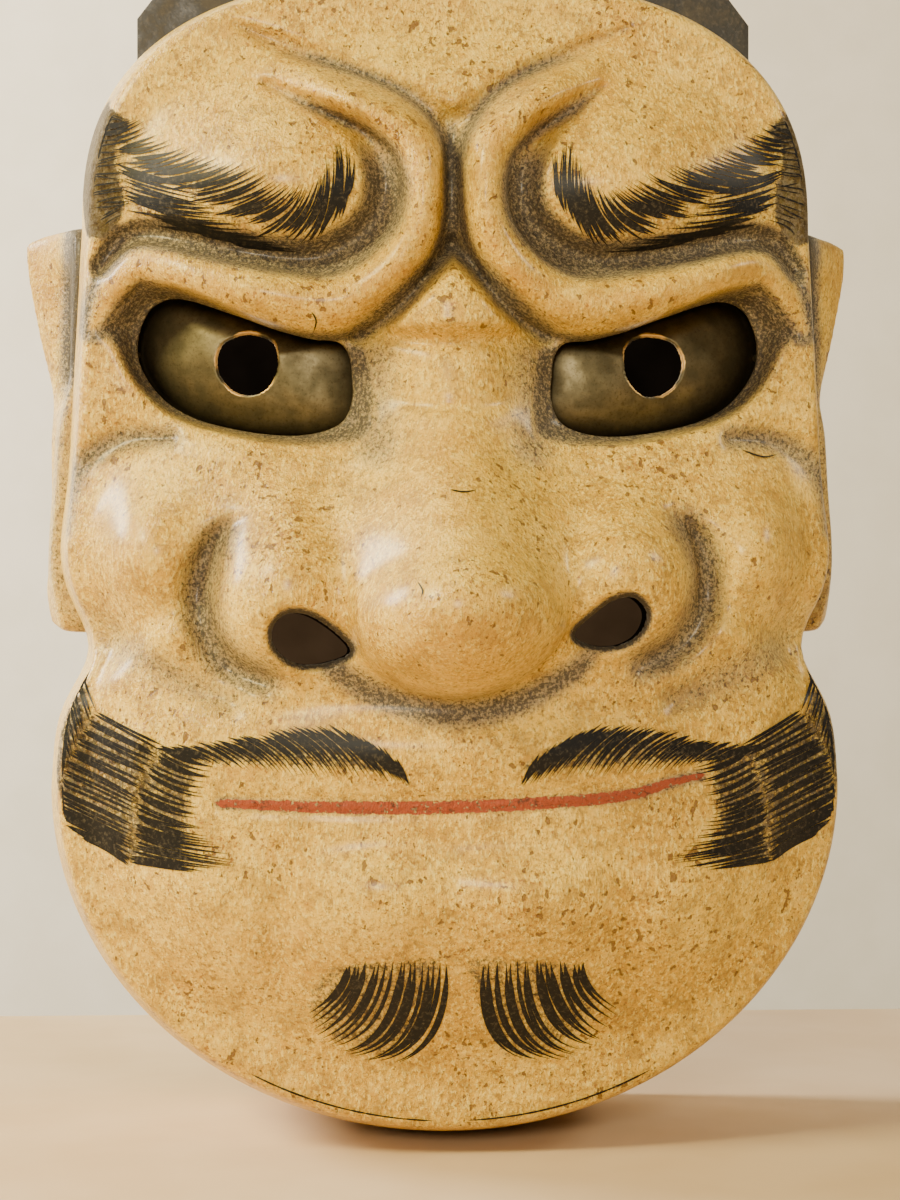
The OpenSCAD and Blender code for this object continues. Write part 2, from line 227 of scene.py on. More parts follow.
def face_outline():
    a = np.radians(np.arange(0, 180, 2.5))
    across = TEMPLE_HALF * np.sign(np.cos(a)) * abs(np.cos(a)) ** DOME_POWER
    top = np.c_[across, TEMPLE_V + (TOP - TEMPLE_V) * np.sin(a) ** DOME_POWER]
    down = np.linspace(TEMPLE_V, JAW_V, 40, endpoint=False)
    up = np.linspace(JAW_V, TEMPLE_V, 40, endpoint=False)
    jaw = np.c_[JAW_HALF * np.cos(a + math.pi), JAW_V + (JAW_V - BOTTOM) * np.sin(a + math.pi)]
    ring = np.vstack([top, np.c_[-side_half(down), down], jaw, np.c_[side_half(up), up]])
    return np.vstack([ring, ring[:1]])


OUTLINE = face_outline()


def spoke_length(ring, hub, at, inset=0.0):
    """Distance from the hub to a closed ring in the directions at, less the inset."""
    spokes = ring[:-1] - hub
    angle, length = np.arctan2(spokes[:, 1], spokes[:, 0]), np.hypot(*spokes.T) - inset
    order = np.argsort(angle)
    return np.interp(at, angle[order], length[order], period=2 * math.pi)


def share_out(u, v, inset=0.0):
    """0 at the hub and 1 on the outline, or on the outline moved in by inset."""
    x, y = u - HUB[0], v - HUB[1]
    return np.hypot(x, y) / spoke_length(OUTLINE, HUB, np.arctan2(y, x), inset)


# Rises and dips of the face: height, distance from the middle, half width, level, half height, and
# whether it fades out at the edge.
FORMS = (
    (4.5, 33, 18, 174, 11, True),  # brow mounds
    (1.5, 0, 22, 196, 9, True),  # forehead
    (-3.0, 62, 7, 140, 16, True),  # temples
    (10.0, 59.5, 11, 103.5, 16, True),  # cheekbones
    (1.5, 40, 12, 120, 8, False),  # under the eyes
    (3.0, 0, 36, 70, 7, False),  # upper lip
    (-1.4, 0, 40, 53, 5, False),  # under the mouth
    (2.8, 14, 11, 42, 10, False),  # chin, two halves and the middle
    (0.84, 0, 10, 42, 10, False),
    (1.8, 44, 10, 36, 14, True),  # jaw
    (-1.6, 31, 4, 38, 14, False),  # between chin and jaw
)


def broad_form(s, v, out, edge):
    """The dome of the face with its rises and dips, before any line is cut."""
    fall = np.clip(1 - np.clip(out, 0, 1) ** 4, 0, None) ** 0.5
    d = SIDE_DEPTH + (curve(v, MIDDLE) - SIDE_DEPTH) * fall
    for height, across, width, level, tall, fades in FORMS:
        d += height * hill(s - across, width) * hill(v - level, tall) * (edge if fades else 1)
    return d


def nose_ridge(s, v):
    return curve(v, NOSE_RIDGE) * np.exp(-((s / curve(v, NOSE_HALF)) ** 2.2))


def nose_form(d, u, s, v):
    """Adds the nose's ridge, its ball and its two wings."""
    d = d + nose_ridge(s, v) * ease((v - 78) / 8) * ease((160 - v) / 10)
    from_wing = v - WING[1]
    wing = ((s - WING[0]) / 13.6) ** 2 + (from_wing / np.where(from_wing > 0, 18.5, 14)) ** 2
    d = smooth_max(d, 64.5 + 13.0 * dome(wing, 0.6 + 0.5 * ease(from_wing / 12)), 4.0)
    from_tip = v - NOSE_TIP[1]
    ball = ((u - NOSE_TIP[0]) / 20.3) ** 2 + (from_tip / np.where(from_tip > 0, 20, 15)) ** 2
    return smooth_max(d, 68.5 + 27.5 * dome(ball, 0.5 + 0.5 * ease(from_tip / 14)), 3.0)


def channel(dist, width):
    return 1 - ease(dist / (1.25 * width))


def nose_lift(u, v):
    """How much higher the wearer's left wing of the nose sits."""
    return 3.2 * ease(u / 36) * ease((63 - u) / 14) * ease((122 - v) / 20) * ease((v - 72) / 10)


def trace_lines(u, v, s, lift):
    """Distance, way along and half width of each carved line.

    The wearer's right brow curls further out than the left."""
    curl = 3.4 * ease((v - 176) / 16) * ease(s / 25)
    curled = s + np.where(u > 0, curl, -curl)
    return {
        "roll": trace(curled, v, BROW_ROLL),
        "groove": trace(curled, v, BROW_GROOVE),
        "frown": trace(curled, v, FROWN),
        "beside_nose": trace(s, v, BESIDE_NOSE),
        "wing": trace(s, v - lift, WING_GROOVE),
        "cheek": trace(s, v, CHEEK_TOP),
        "jowl": trace(s, v, JOWL),
        "mouth": trace(u, v, MOUTH),
    }


def middle_groove(u, v):
    """Distance to the groove between the brows, and 1 where it is carved."""
    return np.abs(u + 0.3), ease((v - 157) / 4) * ease((187 - v) / 9)


def mouth_span(way):
    """1 along the mouth line, easing to 0 at its two corners."""
    return ease(way / 0.04) * ease((1 - way) / 0.04)


def carve_grooves(d, u, v, lines):
    """Cuts the cheek, jowl, nose, brow and frown lines."""
    cheek_d, _, cheek_w = lines["cheek"]
    jowl_d, _, jowl_w = lines["jowl"]
    wing_d, _, wing_w = lines["wing"]
    groove_d, _, groove_w = lines["groove"]
    frown_d, _, frown_w = lines["frown"]
    middle_d, middle_on = middle_groove(u, v)
    d = d - 1.8 * hill(cheek_d, cheek_w * 1.2)
    d -= 2.6 * hill(jowl_d, jowl_w * 1.5)
    d -= 4.6 * hill(wing_d, wing_w * 1.05) * ease((wing_w - 0.8) / 1.8)
    d -= 4.2 * np.minimum(groove_w / 3.0, 1) * channel(groove_d, groove_w * 1.15)
    d -= 2.6 * np.minimum(frown_w / 2.3, 1) * channel(frown_d, frown_w * 1.3)
    d -= 4.5 * middle_on * hill(middle_d, 2.2)
    return d


# Depth, level, bow, width, half length and soft end of each crease across the bridge of the nose.
NOSE_CREASES = (
    (0.9, 142.8, 0.012, 1.3, 17, 5),
    (0.6, 131.6, 0.010, 1.5, 12, 4),
    (0.3, 122.5, 0.010, 1.2, 9, 4),
)


def carve_bridge(d, u, v, s, lines):
    """A raised triangle between the brows, with three creases across the bridge under it."""
    beside_d, _, beside_w = lines["beside_nose"]
    flank = np.maximum((159.5 - v) * 0.9, 0.6)
    d = d + 4.0 * (1 - ease((s - flank + 2.6) / 4.0)) * ease((v - 143) / 4.2) * ease((160.5 - v) / 5)
    d -= 3.4 * hill(beside_d, beside_w)
    for depth, level, bow, width, half, soft in NOSE_CREASES:
        d -= depth * hill(v - level - bow * u * u, width) * ease((half - s) / soft)
    return d


def raise_brow(d, lines, edge):
    """Lays the rounded roll of the brow over the forehead."""
    roll_d, roll_way, roll_w = lines["roll"]
    rise = 6.8 * np.minimum(roll_w / 4.0, 1.15) * ease(roll_way / 0.12) * ease((1 - roll_way) / 0.08)
    return d + rise * np.clip(1 - (roll_d / (roll_w * 1.12)) ** 2, 0, None) ** 0.62 * edge


def sink_eyes(d, v, s, skin, hole):
    """The skin falls to the brass plate round each eye, steep above and a soft ramp below."""
    ramp = np.where(hole > 0, 1, np.clip(skin / np.maximum(skin - hole, 0.4), 0, 1))
    sunk = np.minimum(d, eye_plane(s) + 1.2)
    d = np.where(skin > 0, d + (sunk - d) * ease(ramp), d)
    return d + 0.4 * ease(1 - np.abs(skin + 2.6) / 2.6) * ease((134 - v + (s - 36) * 0.12) / 6)


def carve_mouth(d, v, s, lines):
    """Cuts the line of the closed mouth and raises the two folds of the cheek beside it."""
    mouth_d, mouth_way, _ = lines["mouth"]
    d = d - (1.0 * hill(mouth_d, 1.9) - 0.7 * hill(mouth_d, 0.8)) * mouth_span(mouth_way)
    for fold in (FOLD_OUT, FOLD_IN):
        fold_d, fold_way, _ = trace(s, v, fold)
        d += 0.8 * hill(fold_d, 1.6) * ease(np.minimum(fold_way, 1 - fold_way) / 0.2)
    return d


def soot_mask(u, v, s, lines, skin, nostril):
    """Dirt and painted shade: darkening in the grooves, round the eyes, in the nostrils and under the
    nose.
    """
    groove_d, _, groove_w = lines["groove"]
    frown_d, _, frown_w = lines["frown"]
    wing_d, _, wing_w = lines["wing"]
    roll_d, roll_way, roll_w = lines["roll"]
    mouth_d, mouth_way, _ = lines["mouth"]
    middle_d, middle_on = middle_groove(u, v)
    return np.maximum.reduce([
        0.6 * ease(1.6 - groove_d / (groove_w * 1.15)) * ease((184 - v) / 12),
        0.25 * ease(1.6 - frown_d / frown_w),
        0.7 * middle_on * hill(middle_d, 2.2),
        0.6 * hill(lines["beside_nose"][0], 2.4),
        # Painted shade with dirt in the groove round the nose's wings.
        0.55 * hill(wing_d, 4.6) * ease((wing_w - 0.5) / 1.6),
        0.35 * hill(lines["jowl"][0], 5.0),
        0.5 * hill(lines["cheek"][0], 3.0),
        0.62 * ease((skin + 1.4) / 3.6),
        # Painted shade: black in the nostrils.
        0.9 * ease((nostril + 1.5) / 1.2),
        # Painted shade: a dark band under the nose.
        0.62 * hill(v - 76.8 - 0.017 * u * u, 3.4) * ease((30 - s) / 8),
        0.6 * hill(mouth_d, 1.4) * mouth_span(mouth_way),
        # Painted shade: a dark line under the edge of the brow roll.
        0.55 * hill(roll_d - roll_w * 1.15, 1.6) * ease(roll_way / 0.1),
        0.4 * hill(s - 14, 6) * ease((v - 116) / 8) * ease((148 - v) / 8),
    ])


def worn_mask(u, v, s, out, lines):
    """Where handling has rubbed the paint to ochre: on the rolls, the nose, the cheeks and the edge."""
    roll_d, roll_way, roll_w = lines["roll"]
    return np.maximum.reduce([
        0.75 * hill(roll_d, roll_w * 0.7) * ease(roll_way / 0.2),
        0.9 * hill(lines["groove"][0], 2.6) * ease((v - 170) / 7),
        0.7 * hill(lines["frown"][0], 2.2) * ease((v - 182) / 6),
        0.8 * hill(u, 15) * hill(v - 92, 11),
        0.55 * hill(u, 10) * ease((v - 88) / 10) * ease((142 - v) / 18),
        0.9 * hill(u + 2, 13) * hill(v - 206, 3),
        0.45 * hill(s - 58, 9) * hill(v - 108, 12),
        0.35 * ease((out - 0.96) / 0.04) * ease((80 - v) / 30),
    ])


def relief(u, v):
    """Depth of the carved face over the drawing, and the masks that its paint follows.

    s is the distance from the middle, out is 1 on the outline, and edge falls to 0 there."""
    out = share_out(u, v)
    edge = 1 - np.clip(out, 0, 1) ** 10
    s = np.abs(u)
    lift = nose_lift(u, v)
    lines = trace_lines(u, v, s, lift)
    skin = inside(s, v, EYE_SKIN)
    hole = inside(s, v, EYE_HOLE)
    nostril = np.maximum(inside(u, v, LEFT_NOSTRIL), inside(u, v, RIGHT_NOSTRIL))

    d = nose_form(broad_form(s, v, out, edge), u, s, v - lift)
    d = carve_grooves(d, u, v, lines)
    d = carve_bridge(d, u, v, s, lines)
    d = raise_brow(d, lines, edge)
    d = sink_eyes(d, v, s, skin, hole)
    d = d - 3.0 * ease((nostril + 1.6) / 1.8)
    d = carve_mouth(d, v, s, lines)

    mouth_d, mouth_way, mouth_w = lines["mouth"]
    mouth_on = mouth_span(mouth_way)
    return {
        "depth": np.maximum(d, SIDE_DEPTH),
        "hole": hole,
        "nostril": nostril,
        "soot": soot_mask(u, v, s, lines, skin, nostril),
        "worn": worn_mask(u, v, s, out, lines),
        "lip": mouth_w * mouth_on - mouth_d - 0.4 * (1 - mouth_on),
    }


# ---- 3-D solid ----
def steepness(field):
    """Length of the surface over a millimetre of the drawing, so that a drop turns into a distance."""
    slope_u, slope_v = np.gradient(field, GRID)
    return np.sqrt(1 + np.minimum(slope_u**2 + slope_v**2, 16.0))


class Drawing:
    """The relief on a grid over the drawing, read anywhere by bilinear interpolation."""

    def __init__(self):
        self.u0, self.v0 = -76.0, -2.0
        across, upward = np.arange(self.u0, 76.0, GRID), np.arange(self.v0, 213.0, GRID)
        u, v = np.meshgrid(across, upward, indexing="ij")
        self.fields = relief(u, v)
        self.fields["edge"] = inside(u, v, OUTLINE)
        self.fields["steep"] = steepness(self.fields["depth"])
        self.fields["hollow"] = hollow_depth(u, v)
        self.fields["hollow_steep"] = steepness(self.fields["hollow"])

    def at(self, u, v, *names):
        x = np.clip((u - self.u0) / GRID, 0, self.fields["depth"].shape[0] - 1.001)
        y = np.clip((v - self.v0) / GRID, 0, self.fields["depth"].shape[1] - 1.001)
        i, j = x.astype(int), y.astype(int)
        x, y = x - i, y - j
        found = []
        for name in names:
            f = self.fields[name]
            low = f[i, j] * (1 - y) + f[i, j + 1] * y
            found.append(low * (1 - x) + (f[i + 1, j] * (1 - y) + f[i + 1, j + 1] * y) * x)
        return found if len(found) > 1 else found[0]


def hollow_depth(u, v):
    """The hollow follows the face one wall lower, with the marks of the gouge left in it."""
    out = share_out(u, v, RIM_WIDTH / SIDE_REACH)
    s = np.abs(u)
    ridge = nose_ridge(s, v) * ease((v - 74) / 8)
    form = (curve(v, MIDDLE) - WALL + 0.75 * ridge) * np.clip(1 - out**3, 0, None) ** 0.6
    row = v / 8.5 + 0.35 * np.sin(u / 9.0)
    gouge = 0.45 * np.abs(np.sin(math.pi * row)) * (0.7 + 0.3 * np.sin(u / 5.2 + 2.1 * np.floor(row)))
    return form + gouge * ease((1 - out) / 0.2) - 60 * np.clip(out - 1, 0, None)


CORD_HOLE_R = 2.0
CORD_Y, CORD_Z = 41.5, 141.0
RIM_ROUNDING = 1.6
PLATE_PLAY = 0.3


def carve_solid(drawing):
    """Signed distance of the mask on a voxel grid, negative inside, and the grid's lowest corner."""
    low = np.array([-75.0, -50.0, -2.0])
    high = np.array([75.0, 50.0, 217.0])
    x, y, z = (np.arange(a, b, VOXEL) for a, b in zip(low, high))
    grid_x, grid_z = np.meshgrid(x, z, indexing="ij")
    solid = np.empty((len(x), len(y), len(z)), np.float32)
    names = ("depth", "steep", "edge", "hole", "nostril")
    back_u = grid_x / SIDE_REACH
    back_v = (grid_z - SIGHT_Z) / SIDE_REACH + EYE_LINE
    at_side = np.abs(grid_x) > 50
    hollow, hollow_steep = drawing.at(back_u, back_v, "hollow", "hollow_steep")
    behind = drawing.at(back_u, back_v, *names)
    for k, across in enumerate(y):
        d = MID_DEPTH - across
        reach = reach_of(d)
        u, v = grid_x / reach, (grid_z - SIGHT_Z) / reach + EYE_LINE
        depth, steep, edge, hole, nostril = behind if d <= SIDE_DEPTH else drawing.at(u, v, *names)
        front = smooth_max((d - depth) / steep, -edge, RIM_ROUNDING)
        back = np.full(front.shape, across - MID_DEPTH)
        pocket = np.minimum(hole + FLANGE + PLATE_PLAY, eye_plane(np.abs(u)) - LEDGE_BACK - d)
        cord = np.where(at_side, CORD_HOLE_R - np.hypot(across - CORD_Y, grid_z - CORD_Z), -np.inf)
        cuts = [front, back, (hollow - d) / hollow_steep, hole, nostril, pocket, cord]
        solid[:, k, :] = np.maximum.reduce(cuts)
    return solid, low


def mesh_of(solid, low, voxel):
    """Points in millimetres and quads of a signed distance array."""
    band = 3 * voxel
    grid = openvdb.FloatGrid(band)
    grid.copyFromArray(np.clip(solid, -band, band).astype(np.float32))
    points, quads = grid.convertToQuads(isovalue=0.0)
    return points.astype(np.float64) * voxel + low, quads[:, ::-1]


def add_mesh(name, points, faces, material):
    """New object from points in millimetres, riding on the body."""
    mesh = bpy.data.meshes.new(name)
    mesh.from_pydata((np.asarray(points) * MM).tolist(), [], [list(map(int, f)) for f in faces])
    mesh.polygons.foreach_set("use_smooth", np.full(len(mesh.polygons), True))
    mesh.materials.append(material)
    piece = bpy.data.objects.new(name, mesh)
    bpy.context.scene.collection.objects.link(piece)
    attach(piece, "root")
    return piece


def add_masks(piece, **masks):
    """Stores numbers for every vertex under these names, for the materials to read."""
    for name, values in masks.items():
        attribute = piece.data.attributes.new(name, "FLOAT", "POINT")
        attribute.data.foreach_set("value", np.asarray(values, np.float32))


# ---- materials ----
class Surface:
    """A node material on object coordinates in millimetres, with short names for the nodes it uses."""

    def __init__(self, name):
        self.material = bpy.data.materials.new(name)
        self.material.use_nodes = True
        self.nodes = self.material.node_tree.nodes
        self.links = self.material.node_tree.links
        self.shader = self.nodes["Principled BSDF"]
        scale = self.nodes.new("ShaderNodeMapping")
        scale.inputs["Scale"].default_value = (1000, 1000, 1000)
        self.links.new(self.nodes.new("ShaderNodeTexCoord").outputs["Object"], scale.inputs["Vector"])
        self.place = scale.outputs["Vector"]

    def plug(self, value, socket):
        if isinstance(value, bpy.types.NodeSocket):
            self.links.new(value, socket)
        elif isinstance(value, tuple) and len(value) == 3 and socket.type == "RGBA":
            socket.default_value = (*value, 1)
        else:
            socket.default_value = value

    def noise(self, size, detail=3.0, stretch=(1, 1, 1), rough=0.55, seed=0.0):
        """Noise from 0 to 1 with features of about this size in millimetres."""
        mapping = self.nodes.new("ShaderNodeMapping")
        mapping.inputs["Scale"].default_value = tuple(1 / (size * k) for k in stretch)
        mapping.inputs["Location"].default_value = (seed, 0.7 * seed, 1.3 * seed)
        self.links.new(self.place, mapping.inputs["Vector"])
        noise = self.nodes.new("ShaderNodeTexNoise")
        for name, value in (("Scale", 1.0), ("Detail", detail), ("Roughness", rough)):
            noise.inputs[name].default_value = value
        self.links.new(mapping.outputs["Vector"], noise.inputs["Vector"])
        return noise.outputs["Fac"]

    def read(self, name):
        attribute = self.nodes.new("ShaderNodeAttribute")
        attribute.attribute_name = name
        return attribute.outputs["Fac"]

    def maths(self, operation, a, b=0.0, c=0.0):
        node = self.nodes.new("ShaderNodeMath")
        node.operation = operation
        for value, socket in zip((a, b, c), node.inputs):
            self.plug(value, socket)
        return node.outputs["Value"]

    def times(self, a, b):
        return self.maths("MULTIPLY", a, b)

    def plus(self, a, b):
        return self.maths("ADD", a, b)

    def step(self, value, low, high, to_low=0.0, to_high=1.0):
        """Eased step of value from low to high."""
        node = self.nodes.new("ShaderNodeMapRange")
        node.interpolation_type = "SMOOTHSTEP"
        for number, name in zip((value, low, high, to_low, to_high),
                                ("Value", "From Min", "From Max", "To Min", "To Max")):
            self.plug(number, node.inputs[name])
        return node.outputs["Result"]

    def mix(self, share, a, b, blend="MIX"):
        node = self.nodes.new("ShaderNodeMix")
        node.data_type = "RGBA"
        node.blend_type = blend
        sockets = [s for s in node.inputs if s.type == "RGBA"]
        self.plug(share, node.inputs["Factor"])
        self.plug(a, sockets[0])
        self.plug(b, sockets[1])
        return next(s for s in node.outputs if s.type == "RGBA")

    def tint(self, colour, over, share, strength):
        """The colour with another laid over it where share says, at most this strongly."""
        return self.mix(self.times(share, strength), colour, over)

    def bump(self, height, depth_mm):
        node = self.nodes.new("ShaderNodeBump")
        node.inputs["Distance"].default_value = depth_mm * MM
        self.plug(height, node.inputs["Height"])
        self.links.new(node.outputs["Normal"], self.shader.inputs["Normal"])

    def finish(self, colour, roughness, metal=0.0, specular=0.5):
        self.plug(colour, self.shader.inputs["Base Color"])
        self.plug(roughness, self.shader.inputs["Roughness"])
        self.plug(metal, self.shader.inputs["Metallic"])
        self.plug(specular, self.shader.inputs["Specular IOR Level"])
        return self.material


def srgb(red, green, blue):
    """Linear colour of a paint swatch given in 0 to 255."""
    return tuple(((c / 255 + 0.055) / 1.055) ** 2.4 if c > 10 else c / 3294 for c in (red, green, blue))


SKIN_LIGHT = srgb(241, 200, 72)
SKIN = srgb(219, 172, 52)
SKIN_DEEP = srgb(150, 112, 44)
FLECK = srgb(255, 228, 118)
PALE_PATCH = srgb(253, 218, 108)
OCHRE = srgb(200, 148, 40)
SPECK = srgb(118, 78, 28)
SPECK_LIGHT = srgb(150, 96, 30)
# Greyed dust, dirt and painted shade for the creases, and black painted shade for the nostrils.
DUST_AND_SHADE = srgb(138, 130, 116)
SOOT_AND_SHADE = srgb(50, 49, 49)
NOSTRIL_SHADE = srgb(14, 12, 11)
INK = srgb(16, 17, 20)
INK_RUBBED = srgb(104, 94, 76)
WASH = srgb(44, 43, 45)
WASH_FADED = srgb(96, 92, 86)
LIP_RED = srgb(158, 68, 36)
LIP_DARK = srgb(92, 44, 30)
LACQUER = srgb(38, 26, 18)
LACQUER_WORN = srgb(88, 58, 34)


def mottled_paint(m, mottle, fibre):
    """Ivory paint, uneven at every size, worn to ochre on the crests."""
    patches = m.noise(5.0, 4, rough=0.65, seed=17)
    grain = m.step(m.noise(0.45, 3, rough=0.7, seed=60), 0.54, 0.66)
    colour = m.mix(m.step(m.noise(24, 3), 0.35, 0.68), SKIN, SKIN_LIGHT)
    colour = m.tint(colour, SKIN_DEEP, m.step(mottle, 0.46, 0.66), 0.78)
    colour = m.tint(colour, FLECK, m.step(fibre, 0.5, 0.62), 0.8)
    colour = m.tint(colour, SKIN_DEEP, grain, 0.6)
    colour = m.tint(colour, SKIN_DEEP, m.step(patches, 0.5, 0.64), 0.42)
    colour = m.tint(colour, PALE_PATCH, m.step(patches, 0.47, 0.34), 0.45)
    wear = m.times(m.read("worn"), m.step(m.noise(3.0, 4, seed=5), 0.3, 0.62))
    return m.tint(colour, OCHRE, wear, 0.75)


def add_specks(m, colour):
    """Ochre blotches and two sizes of brown speck, thicker in places. Returns the large specks too."""
    patchy = m.times(m.noise(18, 2, seed=2), 0.34)
    blotches = m.step(m.noise(4.5, 2, rough=0.6, seed=51), 0.64, 0.68)
    large = m.noise(1.5, 2, stretch=(1, 1, 1.2), rough=0.5, seed=14)
    small = m.noise(0.6, 2, rough=0.5, seed=19)
    large = m.step(m.plus(large, patchy), 0.84, 0.88)
    small = m.step(m.plus(small, patchy), 0.815, 0.86)
    colour = m.tint(colour, OCHRE, blotches, 0.45)
    colour = m.tint(colour, SPECK_LIGHT, small, 0.75)
    return m.tint(colour, SPECK, large, 0.85), large


def add_wash(m, colour):
    """The grey wash under the hair, rubbed through in places. Returns where it is too."""
    rubbed = m.noise(0.8, 4, stretch=(1, 4, 1), rough=0.8, seed=21)
    rubbed = m.maths("MULTIPLY_ADD", rubbed, 2.2, -0.6)
    wash = m.step(m.plus(m.read("ink"), rubbed), 0.75, 1.3)
    faded = m.step(m.noise(1.3, 4, rough=0.8, seed=24), 0.42, 0.62)
    return m.tint(colour, m.mix(faded, WASH, WASH_FADED), wash, 0.9), wash


def add_soot(m, colour):
    """Pale dust with painted shade, then stippled dirt and painted shade in it, then black painted shade
    in the nostrils. Returns the dirt and painted shade too.
    """
    level = m.read("soot")
    stipple = m.maths("MULTIPLY_ADD", m.noise(0.6, 3, rough=0.8, seed=9), 2.2, -1.1)
    soot = m.step(m.plus(level, stipple), 0.3, 0.72)
    colour = m.tint(colour, DUST_AND_SHADE, m.step(level, 0.1, 0.6), 0.75)
    colour = m.tint(colour, SOOT_AND_SHADE, soot, 0.85)
    return m.mix(m.step(level, 0.92, 1.2), colour, NOSTRIL_SHADE), soot


def add_lip(m, colour):
    """The red line of the mouth, ragged, chipped and darkened in places."""
    ragged = m.maths("MULTIPLY_ADD", m.noise(0.9, 3, seed=30), 1.0, -0.5)
    line = m.step(m.plus(m.read("lip"), ragged), -0.05, 0.15)
    whole = m.step(m.noise(0.8, 3, seed=33), 0.32, 0.42)
    red = m.mix(m.step(m.noise(1.1, 4, rough=0.75, seed=36), 0.5, 0.68), LIP_RED, LIP_DARK)
    return m.mix(m.times(line, whole), colour, red)


def painted_skin():
    """Aged paint over wood on the front, and brown lacquer with gouge marks on the back."""
    m = Surface("aged_face_paint")
    mottle = m.noise(1.1, 4, rough=0.7)
    fibre = m.noise(0.55, 3, stretch=(1, 1, 2.2), rough=0.65, seed=3)
    colour, specks = add_specks(m, mottled_paint(m, mottle, fibre))
    colour, wash = add_wash(m, colour)
    colour, soot = add_soot(m, colour)
    colour = add_lip(m, colour)
    back = m.step(m.read("back"), 0.45, 0.55)
    lacquer = m.mix(m.step(m.noise(6, 4, seed=44), 0.3, 0.75), LACQUER, LACQUER_WORN)
    colour = m.mix(back, colour, lacquer)
    gouges = m.times(m.noise(7, 2, stretch=(1, 1, 0.5), seed=40), back)
    height = m.plus(m.times(mottle, 0.5), m.times(fibre, 0.5))
    height = m.maths("SUBTRACT", height, m.times(specks, 0.35))
    m.bump(m.plus(height, m.times(gouges, 2.0)), 0.9)
    matt = m.maths("MAXIMUM", m.read("soot"), wash)
    m.plug(m.step(matt, 0.5, 1.1, 0.3, 0.0), m.shader.inputs["Coat Weight"])
    m.shader.inputs["Coat Roughness"].default_value = 0.24
    rough = m.plus(m.step(mottle, 0.3, 0.7, 0.34, 0.5), m.times(soot, 0.25))
    return m.finish(colour, rough, specular=m.step(matt, 0.5, 1.1, 0.4, 0.0))


def brush_ink():
    """Blue-black ink, greyed where it has rubbed."""
    m = Surface("brush_ink")
    rub = m.step(m.noise(0.7, 4, rough=0.75), 0.5, 0.68)
    colour = m.tint(INK, INK_RUBBED, rub, 0.45)
    return m.finish(colour, m.step(rub, 0, 1, 0.45, 0.6), specular=0.25)


def aged_brass():
    """Brown patinated sheet brass with fine scratches, painted shade darkening its rim, and a light ring
    at the pupil that is rubbed brass and painted glint.
    """
    m = Surface("aged_brass_sheet")
    patina = m.noise(4.5, 4, seed=3)
    fine = m.noise(0.5, 3, rough=0.7, seed=8)
    colour = m.mix(m.step(patina, 0.3, 0.8), srgb(88, 82, 62), srgb(130, 120, 92))
    colour = m.tint(colour, srgb(58, 46, 28), m.step(fine, 0.5, 0.7), 0.4)
    # Painted shade: darker towards the plate's rim.
    colour = m.tint(colour, srgb(48, 41, 27), m.read("dull"), 0.65)
    # Rubbed brass and painted glint: a light ring at the pupil's edge.
    colour = m.mix(m.step(m.read("bright"), 0.3, 0.7), colour, srgb(226, 188, 120))
    scratch = m.noise(0.5, 2, stretch=(9, 1, 1), seed=12)
    m.bump(m.plus(patina, m.times(scratch, 0.15)), 0.1)
    return m.finish(colour, m.step(patina, 0.3, 0.7, 0.6, 0.46), metal=1.0)


def bare_wood(name, light, dark, roughness):
    m = Surface(name)
    grain = m.noise(1.2, 4, stretch=(1, 1, 14), rough=0.6)
    pores = m.noise(0.35, 2, stretch=(1, 1, 9), seed=6)
    colour = m.mix(m.step(grain, 0.35, 0.68), light, dark)
    pore_colour = tuple(0.5 * c for c in dark)
    colour = m.tint(colour, pore_colour, m.step(pores, 0.56, 0.66), 0.5)
    m.bump(m.plus(grain, m.times(pores, 0.4)), 0.12)
    return m.finish(colour, m.step(grain, 0.3, 0.7, roughness, roughness + 0.15))


def black_lacquer():
    m = Surface("worn_black_lacquer")
    wear = m.noise(5, 5, rough=0.65)
    dust = m.noise(0.7, 3, seed=4)
    colour = m.mix(m.step(wear, 0.5, 0.75), srgb(34, 31, 28), srgb(66, 58, 48))
    colour = m.tint(colour, srgb(110, 98, 82), m.step(dust, 0.5, 0.7), 0.2)
    m.bump(m.plus(wear, m.times(dust, 0.3)), 0.15)
    return m.finish(colour, m.step(wear, 0.35, 0.7, 0.38, 0.6))


PAINT = painted_skin()
BRASS = aged_brass()
BRUSH = brush_ink()
BLACK = black_lacquer()
BAMBOO = bare_wood("bamboo_pegs", srgb(196, 156, 96), srgb(150, 110, 62), 0.45)


# ---- face ----
BACK_DROP = 4.0
BACK_INSET = 2.5
SIDE_FADE = 9.0
SIDE_WRAP = 0.4
# Level of the painted shade in the nostrils, above every other mark.
NOSTRIL_SHADE_LEVEL = 1.3


